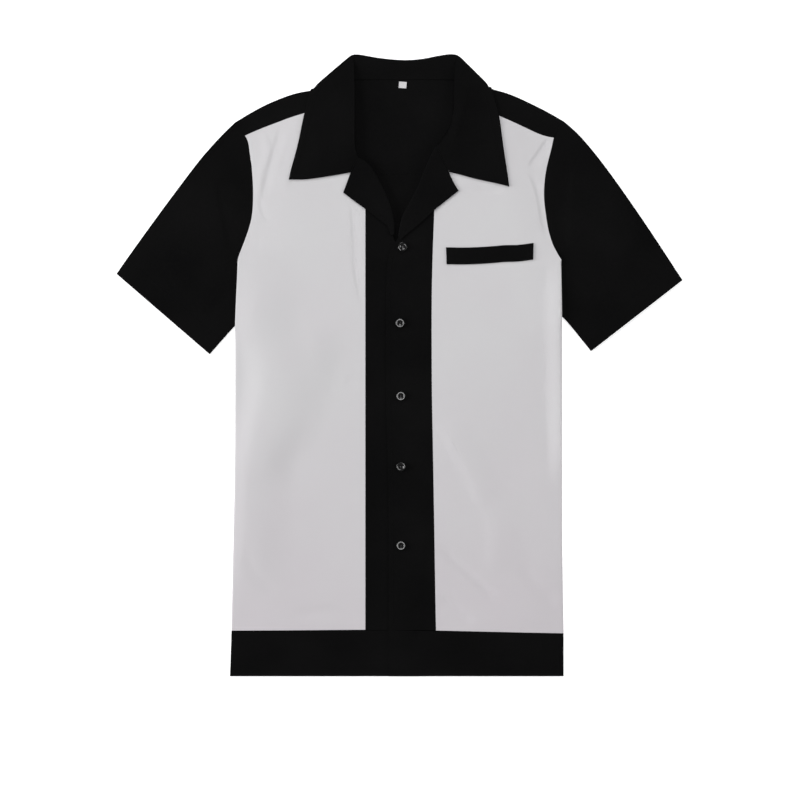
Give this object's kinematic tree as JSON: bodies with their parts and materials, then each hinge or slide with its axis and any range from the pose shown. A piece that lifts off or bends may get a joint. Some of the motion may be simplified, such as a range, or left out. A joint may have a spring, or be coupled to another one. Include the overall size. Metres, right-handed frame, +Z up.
{
  "type": "bowling shirt",
  "caption": "Short-sleeved bowling shirt with open camp collar, pale front panels, dark yoke, sleeves and hem band, buttoned front and chest welt, laid flat on its back.",
  "frame": {"origin": "on the surface the shirt lies on, under the middle of its box", "axes": "+X to the wearer's left, +Y from the hem to the collar, +Z up from the surface"},
  "size_m": [0.707, 0.7784, 0.0101],
  "materials": {
    "black_cotton": "matt plain-woven black cotton",
    "white_cotton": "matt plain-woven off-white cotton",
    "button_plastic": "polished dark button"
  },
  "bodies": {
    "root": {"back_panel": "black_cotton", "yoke": "black_cotton", "front_band_right": "black_cotton", "front_band_left": "black_cotton", "hem_band_right": "black_cotton", "hem_band_left": "black_cotton", "sleeve_right": "black_cotton", "sleeve_left": "black_cotton", "collar": "black_cotton", "lapel_right": "black_cotton", "lapel_left": "black_cotton", "pocket_welt": "black_cotton", "front_panel_right": "white_cotton", "front_panel_left": "white_cotton", "size_label": "white_cotton", "button_1": "button_plastic", "button_2": "button_plastic", "button_3": "button_plastic", "button_4": "button_plastic", "button_5": "button_plastic"}
  },
  "joints": []
}
